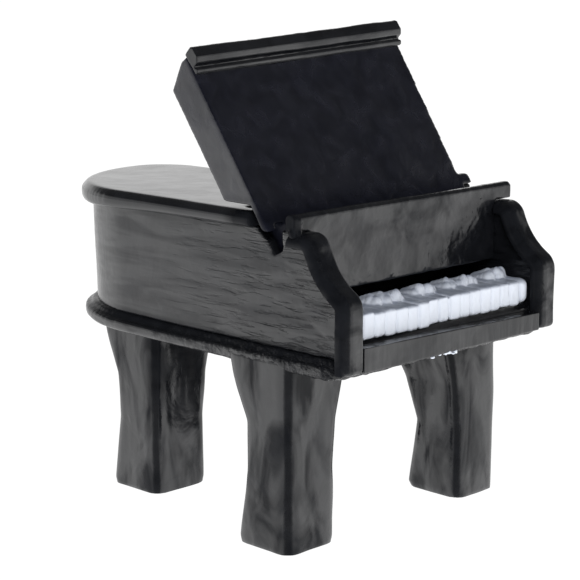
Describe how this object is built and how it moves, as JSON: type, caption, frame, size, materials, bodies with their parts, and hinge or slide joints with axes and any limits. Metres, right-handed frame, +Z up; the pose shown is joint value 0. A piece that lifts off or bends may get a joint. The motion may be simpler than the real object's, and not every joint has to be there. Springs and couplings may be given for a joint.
{
  "type": "miniature grand piano",
  "caption": "Dolls' house grand piano in hand-brushed gloss black with white keys, moulded boards, three flared legs and a front lid that tilts on a pin.",
  "frame": {"origin": "on the floor, at the middle of the piano's width and of its depth", "axes": "+X to the treble side, +Y from the keys to the tail, +Z up"},
  "size_m": [0.0521, 0.0738, 0.0786],
  "materials": {
    "black_gloss": "gloss black paint laid on by brush, over wood",
    "key_white": "thick satin white paint laid on by brush",
    "pin_steel": "plain wire",
    "bare_wood": "unpainted, inside only"
  },
  "bodies": {
    "case": {"bottom_board": "black_gloss", "case_rim": "black_gloss", "belly_rail": "black_gloss", "top_board": "black_gloss", "bass_cheek": "black_gloss", "treble_cheek": "black_gloss", "nameboard": "black_gloss", "nameboard_cap": "black_gloss", "key_bed": "black_gloss", "key_slip": "black_gloss", "key_rail": "black_gloss", "natural_keys": "key_white", "sharp_keys": "key_white", "hinge_pin": "pin_steel", "bass_leg": "black_gloss", "treble_leg": "black_gloss", "tail_leg": "black_gloss", "leg_dowels": "bare_wood"},
    "lid": {"lid_panel": "black_gloss", "lid_lip": "black_gloss"}
  },
  "joints": [
    {"name": "lid_hinge", "type": "hinge", "parent": "case", "child": "lid", "pos_m": [0, -0.0222, 0.0449], "axis": [1, 0, 0], "range_deg": [-5, 30]}
  ]
}
